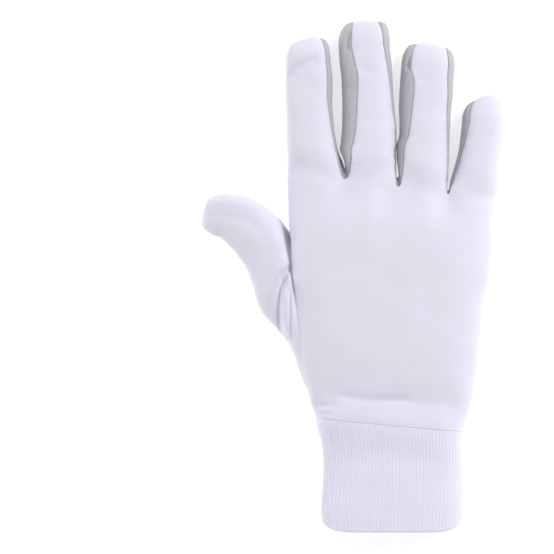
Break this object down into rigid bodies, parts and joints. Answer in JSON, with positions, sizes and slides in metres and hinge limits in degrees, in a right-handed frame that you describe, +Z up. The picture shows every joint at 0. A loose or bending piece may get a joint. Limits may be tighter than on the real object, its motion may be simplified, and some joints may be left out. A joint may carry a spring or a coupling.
{
  "type": "wicketkeeping inner glove",
  "caption": "Thin padded cotton glove for a right hand, worn inside a wicketkeeping glove, with gray strips between the fingers and a ribbed wrist cuff, lying palm down.",
  "frame": {"origin": "on the ground, under the middle of the glove's box", "axes": "+Y from the cuff to the fingertips, +Z up out of the back of the hand, +X from the thumb to the little finger"},
  "size_m": [0.151, 0.2553, 0.0278],
  "materials": {
    "back_cloth": "smooth stretch cloth, faint sheen, white with a cool cast",
    "palm_knit": "soft matt cotton knit, padded, white",
    "gray_strip": "smooth stretch cloth, mid gray",
    "rib_knit": "matt rib knit, white"
  },
  "bodies": {
    "root": {"back_panel": "back_cloth", "palm_panel": "palm_knit", "thumb_back": "back_cloth", "thumb_front": "palm_knit", "fourchette_index_middle": "gray_strip", "fourchette_middle_ring": "gray_strip", "fourchette_ring_little": "gray_strip", "wrist_cuff": "rib_knit"}
  },
  "joints": []
}
